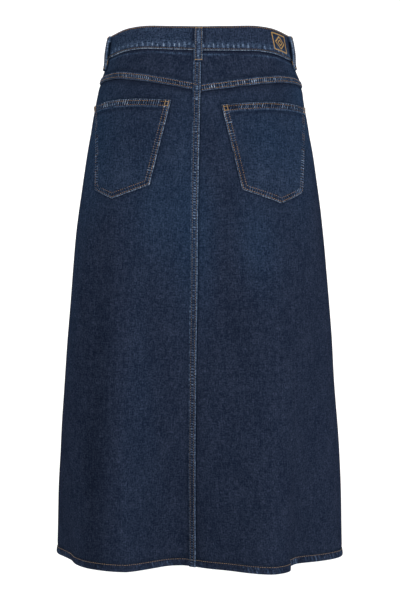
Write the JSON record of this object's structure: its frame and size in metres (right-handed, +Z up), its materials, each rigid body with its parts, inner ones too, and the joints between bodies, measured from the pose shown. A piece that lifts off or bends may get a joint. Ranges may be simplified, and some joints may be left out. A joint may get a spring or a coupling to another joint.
{
  "type": "denim skirt",
  "caption": "A-line denim skirt of midi length with a waistband, belt loops, back yoke, patch pockets and a front fly, filled out as worn.",
  "frame": {"origin": "middle of the waist, halfway up the waistband at the centre back, where the wearer's waist holds the skirt up", "axes": "+Z up, -Y out of the skirt's back, +Y out of its front with the fly, +X the wearer's right"},
  "size_m": [0.4311, 0.3195, 0.7753],
  "materials": {
    "denim": "washed indigo denim, brown topstitching",
    "button_metal": "antique copper"
  },
  "bodies": {
    "root": {"waistband": "denim", "yoke_left": "denim", "yoke_right": "denim", "back_panel_left": "denim", "back_panel_right": "denim", "front_panel_left": "denim", "front_panel_right": "denim", "pocket_left": "denim", "pocket_right": "denim", "belt_loop_centre_back": "denim", "belt_loop_back_left": "denim", "belt_loop_back_right": "denim", "belt_loop_front_left": "denim", "belt_loop_front_right": "denim", "fly_front": "denim", "button": "button_metal"}
  },
  "joints": []
}
